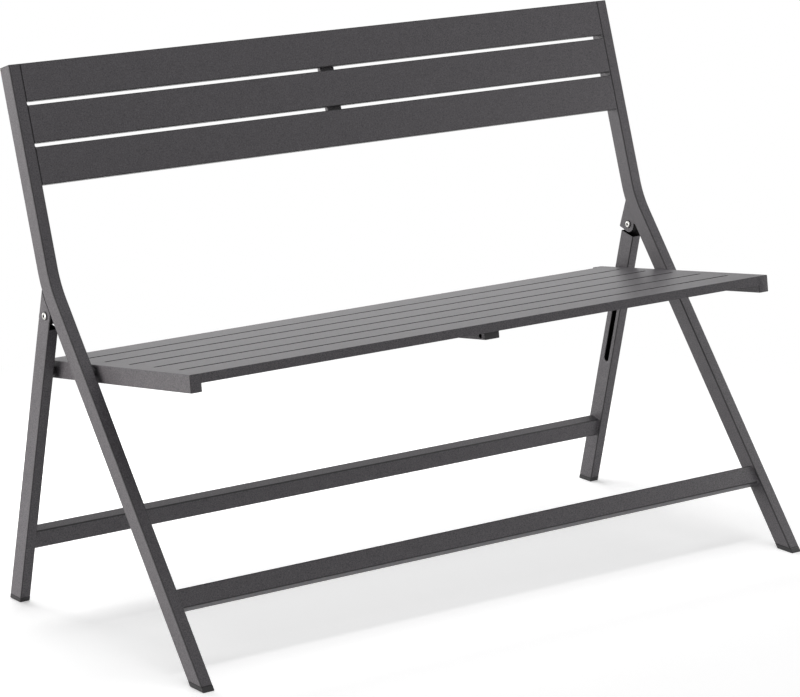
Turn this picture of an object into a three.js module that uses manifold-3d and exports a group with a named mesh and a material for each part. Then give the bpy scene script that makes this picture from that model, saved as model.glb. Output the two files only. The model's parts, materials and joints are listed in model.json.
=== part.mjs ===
// Folding bench of powder coated aluminium tube and hollow planks.
// Lengths are in millimetres and angles in degrees. +X runs across the bench, +Y to its back, +Z up.
// The origin lies on the floor, under the middle of the footprint.
//
// Each bent tube is a front leg and a back upright in one. The rear legs hinge on brackets behind
// the bends. The seat turns on pins in the front legs, and two more pins behind it run in slots of
// the rear legs. The seat pin lies as far from the hinge as from the slide pin, so the seat turns
// exactly twice as far as the rear legs, and the slot is straight.

import * as THREE from 'three';
import { mergeVertices } from 'three/addons/utils/BufferGeometryUtils.js';
import Module from 'manifold-3d';

const wasm = await Module();
wasm.setup();

// Whole bench
const benchWidth = 1200;
const benchHeight = 873;
const footSpread = 569;
const legLean = 37.9;
const backLean = 18.6;
const rearLean = 12.85;
const foldAngle = 50;

// Clearances
const weldGap = 0.3;
const stopGap = 0.4;
const runGap = 0.3;
const plugGap = 0.3;
const stackGap = 1;
const overrun = 5;

// Bent tubes and rear legs
const legTube = { width: 20.6, depth: 29.5, wall: 1.8, round: 1.6 };
const rearTube = { width: 18, depth: 31.8, wall: 1.8, round: 1.5 };
const bend = { height: 543, radius: 155 };
const topCap = { thickness: 2.5 };
const foot = { height: 8, plug: 22 };

// Cross rails between the legs
const crossRail = { height: 31.2, depth: 20.8, wall: 1.4, round: 1.6, frontLevel: 111, rearLevel: 108 };

// Back
const backSlatNames = ['top', 'middle', 'bottom'];
const backSlat = { height: 59.8, thickness: 15, wall: 1.3, round: 1, gap: 6.4 };
const batten = { width: 28, thickness: 8, round: 1, endInset: 10 };

// Hinge between upright and rear leg
const hinge = { inset: 14, hole: 8.6, tubeCut: 19 };
const bracket = {
  boss: 17,
  bossEndShare: 0.8,
  heelBack: 21.8,
  heelDrop: 8.4,
  edge: 60,
  edgeLean: 17,
  notchRise: 3,
  notchReach: 26,
};
const screw = {
  head: 11.4,
  headRise: 2.6,
  rim: 0.8,
  flatShare: 0.45,
  socket: 4,
  socketDepth: 1.9,
  shank: 5.6,
  overlap: 10,
};
const barrel = { bore: 6.2, outer: 8 };
const washer = { outer: 14.6, bore: 8.6, thickness: 0.6 };

// Seat
const seatPivot = { reach: 123.6, inset: 11.2, drop: 11.5 };
const slidePin = { drop: 16.9, fromEnd: 39.4, diameter: 7.4, spare: 22, play: 5 };
const seatRail = { height: 28, width: 20, wall: 1.6, round: 1.5, tail: 12, inset: 7 };
const seatSlat = { count: 6, width: 67, thickness: 14.7, wall: 1.3, round: 1, gap: 4.4 };
const midBar = { width: 28, height: 12.7, wall: 1.5, round: 1, endInset: 12, hole: 8, holeInset: 13 };
const endCap = { thickness: 2, plug: 14 };
const pivotPin = { diameter: 7.6, collar: 14, intoRail: 16, intoLeg: 11 };
const insert = { outer: 11, flange: 14, flangeThickness: 1, length: 10 };
const bush = { sleeve: 11.4, flange: 16, past: 5, bore: 7.8 };
const slot = { width: 12 };

// Roundness of what is turned and rounded
const turnedSides = 24;
const edgeSteps = 2;
const bendSteps = 8;
const domeSteps = 4;

// Side view directions: one leans back from upright by an angle, the other points back, square to it
const radians = THREE.MathUtils.degToRad;
const along = (lean) => new THREE.Vector2(Math.sin(radians(lean)), Math.cos(radians(lean)));
const behind = (lean) => new THREE.Vector2(Math.cos(radians(lean)), -Math.sin(radians(lean)));
const go = (start, direction, distance) => start.clone().addScaledVector(direction, distance);

// Where two lines meet, each a point and a direction
function meet(pointA, directionA, pointB, directionB) {
  const between = pointB.clone().sub(pointA);
  const distance = between.cross(directionB) / directionA.cross(directionB);
  return go(pointA, directionA, distance);
}

// Lines of the side view
const halfWidth = benchWidth / 2;
const frontFoot = new THREE.Vector2(-footSpread / 2, 0);
const rearHeel = new THREE.Vector2(footSpread / 2, 0);
const bendCorner = go(frontFoot, along(legLean), bend.height / Math.cos(radians(legLean)));
const bendTangent = bend.radius * Math.tan(radians(legLean - backLean) / 2);
const bendCentre = go(go(bendCorner, along(legLean), -bendTangent), behind(legLean), -bend.radius);
const backLength = (benchHeight - bend.height) / Math.cos(radians(backLean));
const topCorner = go(bendCorner, along(backLean), backLength);

// Hinge centre: folded, the rear leg lies straight behind the front leg with the stack gap between
const hingeBehindLeg = legTube.depth + stackGap + hinge.inset;
const hingeBeforeHeel = rearTube.depth - hinge.inset;
const hingePoint = meet(
  go(frontFoot, behind(legLean), hingeBehindLeg),
  along(legLean),
  go(rearHeel, behind(-rearLean), -hingeBeforeHeel),
  along(-rearLean),
);

// Seat pivot on the front leg, and the slide pin as far from it as the hinge is
const pivotBeforeHinge = hingeBehindLeg - seatPivot.inset;
const pivotBelowHinge = Math.sqrt(seatPivot.reach ** 2 - pivotBeforeHinge ** 2);
const pivotPoint = go(go(hingePoint, behind(legLean), -pivotBeforeHinge), along(legLean), -pivotBelowHinge);
const downLeg = along(-rearLean).negate();
const slideStart = 2 * pivotPoint.clone().sub(hingePoint).dot(downLeg);
const slidePoint = go(hingePoint, downLeg, slideStart);
const openAngle = Math.acos(slideStart / (2 * seatPivot.reach));
const slideEnd = 2 * seatPivot.reach * Math.cos(openAngle - radians(foldAngle));

// Seat frame: its origin is the front top edge, x runs back along the seat and y stands up from it
const seatLink = slidePoint.clone().sub(pivotPoint);
const linkSlope = Math.atan2(-seatLink.y, seatLink.x);
const pinStep = slidePin.drop - seatPivot.drop;
const seatTilt = THREE.MathUtils.radToDeg(linkSlope - Math.asin(pinStep / seatPivot.reach));
const slatsDepth = seatSlat.count * seatSlat.width + (seatSlat.count - 1) * seatSlat.gap;
const railLength = slatsDepth + seatRail.tail;
const slideLead = railLength - slidePin.fromEnd;
const pivotLead = slideLead - Math.sqrt(seatPivot.reach ** 2 - pinStep ** 2);
const seatEdge = go(go(pivotPoint, along(seatTilt), seatPivot.drop), behind(seatTilt), -pivotLead);

// Places across the bench, for the right hand side
const legInner = halfWidth - legTube.width;
const rearInner = halfWidth - rearTube.width;
const tabInner = halfWidth - rearTube.wall;
const railOuter = legInner - seatRail.inset;
const railInner = railOuter - seatRail.width;

// Finishes
const finish = {
  coat: { color: 0x59575a, roughness: 0.55, metalness: 0.1 },
  plastic: { color: 0x17171a, roughness: 0.7, metalness: 0 },
  steel: { color: 0xc9c9c6, roughness: 0.3, metalness: 0.9 },
};

// Geometry to solid and back
function solidOf(geometry) {
  const bare = geometry.clone();
  bare.deleteAttribute('normal');
  bare.deleteAttribute('uv');
  const merged = mergeVertices(bare);
  const vertProperties = Float32Array.from(merged.attributes.position.array);
  const triVerts = Uint32Array.from(merged.index.array);
  return new wasm.Manifold(new wasm.Mesh({ numProp: 3, vertProperties, triVerts }));
}

function geometryOf(solid) {
  const mesh = solid.getMesh();
  const geometry = new THREE.BufferGeometry();
  geometry.setAttribute('position', new THREE.BufferAttribute(Float32Array.from(mesh.vertProperties), 3));
  geometry.setIndex(new THREE.BufferAttribute(Uint32Array.from(mesh.triVerts), 1));
  return geometry;
}

function cut(body, ...tools) {
  return geometryOf(tools.reduce((rest, tool) => rest.subtract(solidOf(tool)), solidOf(body)));
}

function common(body, ...tools) {
  return geometryOf(tools.reduce((rest, tool) => rest.intersect(solidOf(tool)), solidOf(body)));
}

function joined(body, ...tools) {
  return geometryOf(tools.reduce((rest, tool) => rest.add(solidOf(tool)), solidOf(body)));
}

// The same piece for the left hand side, with its faces turned the right way again
function mirrored(geometry) {
  const copy = geometry.clone().scale(1, 1, -1);
  const index = Array.from(copy.index.array);
  for (let i = 0; i < index.length; i += 3) {
    [index[i], index[i + 1]] = [index[i + 1], index[i]];
  }
  copy.setIndex(index);
  return copy;
}

// A rectangle with rounded corners, its low corner at (left, low)
function roundedRectangle(left, low, width, height, round) {
  const shape = new THREE.Shape();
  shape.absarc(left + width - round, low + round, round, -Math.PI / 2, 0, false);
  shape.absarc(left + width - round, low + height - round, round, 0, Math.PI / 2, false);
  shape.absarc(left + round, low + height - round, round, Math.PI / 2, Math.PI, false);
  shape.absarc(left + round, low + round, round, Math.PI, Math.PI * 1.5, false);
  shape.closePath();
  return shape;
}

function rectangleHole(left, low, width, height) {
  const path = new THREE.Path();
  path.moveTo(left, low);
  path.lineTo(left + width, low);
  path.lineTo(left + width, low + height);
  path.lineTo(left, low + height);
  path.closePath();
  return path;
}

// A shape of the side view made solid between two places across the bench
function across(shape, from, to) {
  const settings = { depth: to - from, bevelEnabled: false, curveSegments: edgeSteps };
  return new THREE.ExtrudeGeometry(shape, settings).translate(0, 0, from);
}

// A straight tube: depth along x, length along y and width along z, the front face at x = 0
function straightTube(section, from, to, middle) {
  const shape = roundedRectangle(0, -section.width / 2, section.depth, section.width, section.round);
  if (section.wall) {
    const inner = section.width - 2 * section.wall;
    shape.holes.push(rectangleHole(section.wall, -inner / 2, section.depth - 2 * section.wall, inner));
  }
  const settings = { depth: to - from, bevelEnabled: false, curveSegments: edgeSteps };
  const geometry = new THREE.ExtrudeGeometry(shape, settings);
  return geometry.translate(0, 0, from).rotateX(-Math.PI / 2).translate(0, 0, middle);
}

// The section of a plug that goes into a tube's end
function plugSection(section) {
  const inset = section.wall + plugGap;
  return { depth: section.depth - 2 * inset, width: section.width - 2 * inset, round: section.round / 2 };
}

// A hollow plank's section, seen from its end
function plankSection(left, low, width, height, wall, round) {
  const shape = roundedRectangle(left, low, width, height, round);
  shape.holes.push(rectangleHole(left + wall, low + wall, width - 2 * wall, height - 2 * wall));
  return shape;
}

// A round bar across the bench
function roundBar(x, y, diameter, from, to) {
  const bar = new THREE.CylinderGeometry(diameter / 2, diameter / 2, to - from, turnedSides);
  return bar.rotateX(Math.PI / 2).translate(x, y, (from + to) / 2);
}

// A block that reaches far past the bench, above a line of the side view that leans like its frame
function above(point, lean) {
  const reach = 2 * benchWidth;
  const block = new THREE.BoxGeometry(reach, reach, reach).translate(0, reach / 2, 0);
  return block.rotateZ(-radians(lean)).translate(point.x, point.y, 0);
}

function below(point, lean) {
  const reach = 2 * benchWidth;
  const block = new THREE.BoxGeometry(reach, reach, reach).translate(0, -reach / 2, 0);
  return block.rotateZ(-radians(lean)).translate(point.x, point.y, 0);
}

function level(height) {
  return new THREE.Vector2(0, height);
}

// The bent tube's side outline, drawn in from its faces by an inset, running past both ends
function legOutline(inset) {
  const frontRadius = bend.radius + inset;
  const backRadius = bend.radius + legTube.depth - inset;
  const down = benchHeight;
  const up = backLength + overrun;
  const shape = new THREE.Shape();
  const start = go(go(bendCentre, behind(legLean), frontRadius), along(legLean), -down);
  const topFront = go(go(bendCentre, behind(backLean), frontRadius), along(backLean), up);
  const topBack = go(go(bendCentre, behind(backLean), backRadius), along(backLean), up);
  const end = go(go(bendCentre, behind(legLean), backRadius), along(legLean), -down);
  shape.moveTo(end.x, end.y);
  shape.lineTo(start.x, start.y);
  shape.absarc(bendCentre.x, bendCentre.y, frontRadius, -radians(legLean), -radians(backLean), false);
  shape.lineTo(topFront.x, topFront.y);
  shape.lineTo(topBack.x, topBack.y);
  shape.absarc(bendCentre.x, bendCentre.y, backRadius, -radians(backLean), -radians(legLean), true);
  shape.closePath();
  return shape;
}

// The bent tube as a full bar with rounded edges
function legBar() {
  const settings = {
    depth: legTube.width - 2 * legTube.round,
    bevelSize: legTube.round,
    bevelThickness: legTube.round,
    bevelOffset: -legTube.round,
    bevelSegments: edgeSteps,
    curveSegments: bendSteps,
  };
  return new THREE.ExtrudeGeometry(legOutline(0), settings).translate(0, 0, legInner + legTube.round);
}

// The bent bar without rounded edges, smaller by an inset or larger by a negative one
function legCore(inset, from, to) {
  const settings = { depth: to - from, bevelEnabled: false, curveSegments: bendSteps };
  return new THREE.ExtrudeGeometry(legOutline(inset), settings).translate(0, 0, from);
}

// Groups: the side view group turns x to back, y to up and z to across
const bench = new THREE.Group();
const sideView = new THREE.Group();
const basis = new THREE.Matrix4().makeBasis(
  new THREE.Vector3(0, 1, 0),
  new THREE.Vector3(0, 0, 1),
  new THREE.Vector3(1, 0, 0),
);
sideView.quaternion.setFromRotationMatrix(basis);
bench.add(sideView);

function frameAt(point, lean) {
  const group = new THREE.Group();
  group.position.set(point.x, point.y, 0);
  group.rotation.z = -radians(lean);
  group.updateMatrix();
  sideView.add(group);
  return group;
}

const legFrame = frameAt(frontFoot, legLean);
const backFrame = frameAt(topCorner, backLean);
const rearFrame = frameAt(hingePoint, -rearLean);
const seatFrame = frameAt(seatEdge, seatTilt);

// A side view geometry in a frame's own coordinates
function inFrame(geometry, frame) {
  return geometry.applyMatrix4(frame.matrix.clone().invert());
}

function add(frame, name, geometry, look) {
  const material = new THREE.MeshStandardMaterial({ ...finish[look], flatShading: true });
  const mesh = new THREE.Mesh(geometry, material);
  mesh.name = name;
  frame.add(mesh);
}

function addPair(frame, name, geometry, look) {
  const right = geometry.index ? geometry : mergeVertices(geometry);
  add(frame, `${name}_right`, right, look);
  add(frame, `${name}_left`, mirrored(right), look);
}

// Bent tubes, with the hole for the seat pivot's insert in the inner wall
function addUprights() {
  const hollow = legCore(legTube.wall, legInner + legTube.wall, halfWidth - legTube.wall);
  const capPlane = go(topCorner, along(backLean), -topCap.thickness - weldGap);
  const tubeBar = cut(legBar(), below(level(foot.height), 0), above(capPlane, backLean));
  const insertHole = roundBar(
    pivotPoint.x,
    pivotPoint.y,
    insert.outer + 2 * plugGap,
    legInner - overrun,
    legInner + legTube.wall + overrun,
  );
  addPair(sideView, 'upright', cut(tubeBar, hollow, insertHole), 'coat');

  const capBottom = go(topCorner, along(backLean), -topCap.thickness);
  const cap = cut(legBar(), below(capBottom, backLean), above(topCorner, backLean));
  addPair(sideView, 'upright_cap', cap, 'coat');

  const sole = cut(legBar(), below(level(0), 0), above(level(foot.height - weldGap), 0));
  const plugInset = legTube.wall + plugGap;
  const plugCore = legCore(plugInset, legInner + plugInset, halfWidth - plugInset);
  const plug = cut(plugCore, below(level(foot.height / 2), 0), above(level(foot.height + foot.plug), 0));
  addPair(sideView, 'front_foot', joined(sole, plug), 'plastic');
}

// Cross rail section, centred in a leg of the given depth
function railSection(left, middle) {
  const { depth, height, wall, round } = crossRail;
  return plankSection(left, middle - height / 2, depth, height, wall, round);
}

function addFrontRail() {
  const left = (legTube.depth - crossRail.depth) / 2;
  const drop = (legTube.depth / 2) * Math.sin(radians(legLean));
  const middle = (crossRail.frontLevel + drop) / Math.cos(radians(legLean));
  const reach = legInner - weldGap;
  add(legFrame, 'front_rail', across(railSection(left, middle), -reach, reach), 'coat');
}

// Back slats, flush with the front of the uprights, and the batten that ties them behind
function addBack() {
  const { height, thickness, wall, round, gap } = backSlat;
  const reach = legInner - weldGap;
  backSlatNames.forEach((name, index) => {
    const low = -height - index * (height + gap);
    const section = plankSection(0, low, thickness, height, wall, round);
    add(backFrame, `back_slat_${name}`, across(section, -reach, reach), 'coat');
  });
  const count = backSlatNames.length;
  const span = count * height + (count - 1) * gap;
  const low = batten.endInset - span;
  const length = span - 2 * batten.endInset;
  const section = roundedRectangle(thickness + weldGap, low, batten.thickness, length, batten.round);
  add(backFrame, 'back_batten', across(section, -batten.width / 2, batten.width / 2), 'coat');
}

// Bracket welded behind the bend: a gusset with a round boss, cut along the tube's back
function addBrackets() {
  const heel = new THREE.Vector2(hingePoint.x + bracket.heelBack, hingePoint.y - bracket.heelDrop);
  const peak = go(heel, along(-bracket.edgeLean), bracket.edge);
  const bossStart = Math.PI - Math.asin(bracket.notchRise / bracket.boss);
  const bossEnd = 2 * Math.PI * bracket.bossEndShare;
  const shape = new THREE.Shape();
  shape.moveTo(heel.x, heel.y);
  shape.lineTo(peak.x, peak.y);
  shape.lineTo(hingePoint.x - bracket.notchReach, hingePoint.y + bracket.notchRise);
  shape.absarc(hingePoint.x, hingePoint.y, bracket.boss, bossStart, bossEnd, false);
  shape.closePath();
  const outer = tabInner - stopGap;
  const settings = { depth: outer - legInner, bevelEnabled: false, curveSegments: turnedSides / 2 };
  const plate = new THREE.ExtrudeGeometry(shape, settings).translate(0, 0, legInner);
  const tube = legCore(-weldGap, legInner - overrun, halfWidth + overrun);
  const hole = roundBar(hingePoint.x, hingePoint.y, hinge.hole, legInner - overrun, halfWidth);
  addPair(sideView, 'hinge_bracket', cut(plate, tube, hole), 'coat');
}

// A low domed head with a hexagon socket, its flat side at z = 0, rising along +z
function domedHead() {
  const radius = screw.head / 2;
  const dome = screw.headRise - screw.rim;
  const profile = [new THREE.Vector2(0, 0), new THREE.Vector2(radius, 0)];
  for (let step = 0; step <= domeSteps; step += 1) {
    const turn = (step / domeSteps) * (Math.PI / 2);
    const reach = radius * (screw.flatShare + (1 - screw.flatShare) * Math.cos(turn));
    profile.push(new THREE.Vector2(reach, screw.rim + dome * Math.sin(turn)));
  }
  profile.push(new THREE.Vector2(0, screw.headRise));
  const head = new THREE.LatheGeometry(profile, turnedSides).rotateX(Math.PI / 2);
  const corner = screw.socket / Math.sqrt(3);
  const key = new THREE.CylinderGeometry(corner, corner, screw.headRise, 6).rotateX(Math.PI / 2);
  key.translate(0, 0, screw.headRise * 1.5 - screw.socketDepth);
  return { head, key };
}

// Hinge screw from outside, its barrel nut from inside, and a washer under each head
function addHingeScrews() {
  const { x, y } = hingePoint;
  const outerSeat = halfWidth + washer.thickness + 2 * weldGap;
  const innerSeat = legInner - washer.thickness - 2 * weldGap;
  const outerHead = domedHead();
  const shankEnd = legInner + screw.overlap;
  const shank = roundBar(x, y, screw.shank, shankEnd, outerSeat + screw.rim / 2);
  const bolt = joined(outerHead.head.translate(x, y, outerSeat), shank);
  addPair(sideView, 'hinge_bolt', cut(bolt, outerHead.key.translate(x, y, outerSeat)), 'steel');

  const innerHead = domedHead();
  innerHead.head.rotateY(Math.PI).translate(x, y, innerSeat);
  innerHead.key.rotateY(Math.PI).translate(x, y, innerSeat);
  const sleeveEnd = tabInner - stopGap - overrun;
  const sleeve = roundBar(x, y, barrel.outer, innerSeat - screw.rim / 2, sleeveEnd);
  const bore = roundBar(x, y, barrel.bore, innerSeat, sleeveEnd + overrun);
  const nut = cut(joined(innerHead.head, sleeve), innerHead.key, bore);
  addPair(sideView, 'hinge_nut', nut, 'steel');

  const ring = (from) => {
    const disc = roundBar(x, y, washer.outer, from, from + washer.thickness);
    return cut(disc, roundBar(x, y, washer.bore, from - overrun, from + overrun));
  };
  addPair(sideView, 'hinge_washer_outer', ring(halfWidth + weldGap), 'plastic');
  addPair(sideView, 'hinge_washer_inner', ring(legInner - weldGap - washer.thickness), 'plastic');
}

// Rear legs: above the tube cut only the outer wall goes on, up to the back of the upright
function addRearLegs() {
  const middle = halfWidth - rearTube.width / 2;
  const floorDrop = hingePoint.y / Math.cos(radians(rearLean));
  const low = -floorDrop - rearTube.depth;
  const high = benchHeight - hingePoint.y;
  const tube = straightTube(rearTube, low, high, middle).translate(-hinge.inset, 0, 0);
  const openTop = new THREE.BoxGeometry(4 * rearTube.depth, high + overrun, rearTube.width + overrun);
  openTop.translate(0, (high + overrun) / 2 - hinge.tubeCut, tabInner - (rearTube.width + overrun) / 2);
  const upright = inFrame(legCore(-stopGap, 0, halfWidth + overrun), rearFrame);
  const beyond = inFrame(frontSpace(), rearFrame);
  const floor = inFrame(below(level(foot.height), 0), rearFrame);
  const pinHole = roundBar(0, 0, hinge.hole, tabInner - overrun, halfWidth + overrun);
  const leg = cut(tube, openTop, upright, beyond, floor, pinHole, slotCut(), tabRelief());
  addPair(rearFrame, 'rear_leg', leg, 'coat');

  const bar = { ...rearTube, wall: 0 };
  const blank = straightTube(bar, low, -foot.height, middle).translate(-hinge.inset, 0, 0);
  const plugInset = rearTube.wall + plugGap;
  const plugBlank = straightTube(plugSection(rearTube), low, -foot.height, middle);
  plugBlank.translate(plugInset - hinge.inset, 0, 0);
  const trim = (geometry, from, to) => cut(
    geometry,
    inFrame(below(level(from), 0), rearFrame),
    inFrame(above(level(to), 0), rearFrame),
  );
  const sole = trim(blank, 0, foot.height - weldGap);
  const plug = trim(plugBlank, foot.height / 2, foot.height + foot.plug);
  addPair(rearFrame, 'rear_foot', joined(sole, plug), 'plastic');
}

// Everything in front of the front leg's middle line, where no rear leg belongs
function frontSpace() {
  const reach = 2 * benchWidth;
  const middle = go(frontFoot, behind(legLean), legTube.depth / 2);
  const block = new THREE.BoxGeometry(reach, 2 * reach, reach).translate(-reach / 2, 0, 0);
  return block.rotateZ(-radians(legLean)).translate(middle.x, middle.y, 0);
}

// The slot in a rear leg's inner wall, from just above the open pin to past the folded one
function slotCut() {
  const high = -slideStart + slidePin.play;
  const low = -slideEnd - slidePin.spare;
  const shape = new THREE.Shape();
  shape.absarc(0, high, slot.width / 2, 0, Math.PI, false);
  shape.absarc(0, low, slot.width / 2, Math.PI, 2 * Math.PI, false);
  shape.closePath();
  const settings = { depth: rearTube.wall + 2 * overrun, bevelEnabled: false, curveSegments: bendSteps };
  return new THREE.ExtrudeGeometry(shape, settings).translate(0, 0, rearInner - overrun);
}

// Rounds off the tab's front corner, so that it clears the front leg as it turns
function tabRelief() {
  const corner = 2 * hinge.inset;
  const radius = hinge.inset + stackGap - stopGap;
  const block = new THREE.BoxGeometry(corner, hinge.inset, 2 * overrun);
  block.translate(-corner / 2, -hinge.inset / 2, halfWidth);
  const disc = roundBar(0, 0, 2 * radius, halfWidth - 2 * overrun, halfWidth + 2 * overrun);
  return cut(block, disc).rotateZ(-radians(legLean + rearLean));
}

function addRearRail() {
  const left = (rearTube.depth - crossRail.depth) / 2 - hinge.inset;
  const centre = left + crossRail.depth / 2;
  const rise = centre * Math.sin(radians(rearLean));
  const middle = (crossRail.rearLevel - hingePoint.y - rise) / Math.cos(radians(rearLean));
  const reach = rearInner - weldGap;
  add(rearFrame, 'rear_rail', across(railSection(left, middle), -reach, reach), 'coat');
}

// Seat rails with their end caps, and holes for the pivot and the slide pin in the outer wall
function addSeatRails() {
  const section = { ...seatRail, depth: seatRail.height };
  const middle = (railInner + railOuter) / 2;
  const lying = (geometry) => geometry.rotateZ(-Math.PI / 2);
  const from = endCap.thickness + weldGap;
  const to = railLength - endCap.thickness - weldGap;
  const tube = lying(straightTube(section, from, to, middle));
  const wallFrom = railOuter - seatRail.wall - overrun / 2;
  const wallTo = railOuter + overrun;
  const pivotBore = pivotPin.diameter + 2 * runGap;
  const pivotHole = roundBar(pivotLead, -seatPivot.drop, pivotBore, wallFrom, wallTo);
  const slideHole = roundBar(slideLead, -slidePin.drop, slidePin.diameter + 2 * plugGap, wallFrom, wallTo);
  addPair(seatFrame, 'seat_rail', cut(tube, pivotHole, slideHole), 'coat');

  const plate = { ...section, wall: 0 };
  const frontLid = straightTube(plate, 0, endCap.thickness, middle);
  addPair(seatFrame, 'seat_rail_front_cap', lying(frontLid), 'coat');

  const lid = straightTube(plate, railLength - endCap.thickness, railLength, middle);
  const plugFrom = railLength - endCap.thickness - endCap.plug;
  const plug = straightTube(plugSection(section), plugFrom, railLength - endCap.thickness / 2, middle);
  plug.translate(seatRail.wall + plugGap, 0, 0);
  addPair(seatFrame, 'seat_rail_rear_cap', lying(joined(lid, plug)), 'plastic');
}

function addSeatSlats() {
  const { count, width, thickness, wall, round, gap } = seatSlat;
  const reach = railInner - weldGap;
  for (let index = 0; index < count; index += 1) {
    const left = index * (width + gap);
    const section = plankSection(left, -thickness, width, thickness, wall, round);
    add(seatFrame, `seat_slat_${index + 1}`, across(section, -reach, reach), 'coat');
  }
}

// Bar under the middle of the slats, with a hole through both sides near its front end
function addMidBar() {
  const section = { ...midBar, depth: midBar.height };
  const lying = (geometry) => geometry.rotateZ(-Math.PI / 2).translate(0, -seatSlat.thickness - weldGap, 0);
  const start = midBar.endInset;
  const end = slatsDepth - midBar.endInset;
  const from = start + endCap.thickness + weldGap;
  const to = end - endCap.thickness - weldGap;
  const tube = lying(straightTube(section, from, to, 0));
  const holeHeight = -seatSlat.thickness - weldGap - midBar.height / 2;
  const hole = roundBar(start + midBar.holeInset, holeHeight, midBar.hole, -midBar.width, midBar.width);
  add(seatFrame, 'seat_mid_bar', cut(tube, hole), 'coat');

  const plate = { ...section, wall: 0 };
  const plugLength = midBar.holeInset - midBar.hole / 2 - 2 * endCap.thickness;
  const plugged = (lidFrom, plugFrom) => {
    const lid = straightTube(plate, lidFrom, lidFrom + endCap.thickness, 0);
    const plug = straightTube(plugSection(section), plugFrom, plugFrom + plugLength, 0);
    return lying(joined(lid, plug.translate(midBar.wall + plugGap, 0, 0)));
  };
  const frontCap = plugged(start, start + endCap.thickness / 2);
  add(seatFrame, 'seat_mid_cap_front', frontCap, 'plastic');
  const rearCap = plugged(end - endCap.thickness, end - endCap.thickness / 2 - plugLength);
  add(seatFrame, 'seat_mid_cap_rear', rearCap, 'plastic');
}

// Seat pivots: a pin screwed into an insert in the front leg, a spacer, and the rail turning on it
function addSeatPivots() {
  const { x, y } = pivotPoint;
  const pin = roundBar(x, y, pivotPin.diameter, railOuter - pivotPin.intoRail, legInner + pivotPin.intoLeg);
  addPair(sideView, 'seat_pivot_pin', pin, 'steel');

  const flangeFrom = legInner - insert.flangeThickness - weldGap;
  const spacer = roundBar(x, y, pivotPin.collar, railOuter + weldGap, flangeFrom - weldGap);
  const spacerBore = roundBar(x, y, pivotPin.diameter + 2 * runGap, railOuter - overrun, legInner);
  addPair(sideView, 'seat_spacer', cut(spacer, spacerBore), 'plastic');

  const sleeve = roundBar(x, y, insert.outer, flangeFrom, flangeFrom + insert.length);
  const flange = roundBar(x, y, insert.flange, flangeFrom, flangeFrom + insert.flangeThickness);
  const thread = roundBar(x, y, pivotPin.diameter + 2 * plugGap, legInner - overrun, halfWidth);
  addPair(sideView, 'pivot_insert', cut(joined(sleeve, flange), thread), 'steel');
}

// Slide pins at the back of the seat rails, each with a flanged bush that runs in the slot
function addSlidePins() {
  const y = -slidePin.drop;
  const bushEnd = rearInner + rearTube.wall + bush.past;
  const pin = roundBar(slideLead, y, slidePin.diameter, railOuter - pivotPin.intoRail, bushEnd + weldGap);
  addPair(seatFrame, 'slide_pin', pin, 'steel');
  const sleeve = roundBar(slideLead, y, bush.sleeve, railOuter + weldGap, bushEnd);
  const flange = roundBar(slideLead, y, bush.flange, railOuter + weldGap, rearInner - runGap);
  const bore = roundBar(slideLead, y, bush.bore, railOuter - overrun, bushEnd + overrun);
  addPair(seatFrame, 'slide_bush', cut(joined(sleeve, flange), bore), 'plastic');
}

addUprights();
addFrontRail();
addBack();
addBrackets();
addHingeScrews();
addRearLegs();
addRearRail();
addSeatRails();
addSeatSlats();
addMidBar();
addSeatPivots();
addSlidePins();

export default bench;
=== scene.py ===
import json
import math

import bmesh
import bpy
import numpy as np
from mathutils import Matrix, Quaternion, Vector


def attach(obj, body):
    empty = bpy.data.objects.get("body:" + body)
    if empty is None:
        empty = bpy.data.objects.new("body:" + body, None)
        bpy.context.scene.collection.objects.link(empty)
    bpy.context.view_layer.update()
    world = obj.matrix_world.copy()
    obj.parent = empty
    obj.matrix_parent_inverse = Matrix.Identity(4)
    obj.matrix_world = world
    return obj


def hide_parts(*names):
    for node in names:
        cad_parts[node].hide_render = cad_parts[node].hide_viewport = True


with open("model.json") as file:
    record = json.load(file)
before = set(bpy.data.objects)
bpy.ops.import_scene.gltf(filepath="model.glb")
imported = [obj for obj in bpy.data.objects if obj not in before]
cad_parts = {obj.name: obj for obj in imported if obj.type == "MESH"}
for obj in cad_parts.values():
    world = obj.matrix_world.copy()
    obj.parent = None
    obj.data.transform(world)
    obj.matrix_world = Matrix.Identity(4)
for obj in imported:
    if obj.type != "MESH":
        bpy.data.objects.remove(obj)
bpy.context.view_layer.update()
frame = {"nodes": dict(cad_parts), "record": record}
nodes = frame["nodes"]
mm = 0.001
sides = {"left": -1, "right": 1}
across = np.array([1.0, 0.0, 0.0])

# The bench stands with its middle on x = 0 and its feet on z = 0; +y is its back. All sizes are in
# mm. A lean is an angle from upright, towards the back, in degrees.
bench = {
    "halfWidth": 600,
    "height": 873,
    "footFront": -284.5,    # y of the front edge of the front feet on the floor
    "footRear": 284.5,      # y of the rear edge of the rear feet on the floor
}
meshRule = {
    "merge": 0.001,         # mm; points nearer than this become one
    "cadMerge": 0.002,      # mm; the same for a CAD node's triangles
    "cadFlat": 1,           # degrees; triangles that meet flatter than this become one face
    "sharp": 40,            # degrees; an edge that folds more than this is drawn sharp
    "rounded": 35,          # degrees; an edge that folds more than this gets a radius
    "radiusSteps": 3,
    "flatWeight": 80,       # how strongly a piece's flat faces set the shading beside its radii
    "cornerLoss": 0.6,      # share of its radius that a corner loses at most at a rounded end
    "cornerHold": 0.3,      # mm; points just past a corner's arc keep the flats flat
    "endHold": 0.5,         # mm; a row just past a rounded end does the same along the bar
}


def leanAlong(lean):
    # unit vector up a leg: sine of the lean to the back, cosine of it upwards
    turn = math.radians(lean)
    return np.array([0.0, math.sin(turn), math.cos(turn)])


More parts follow.
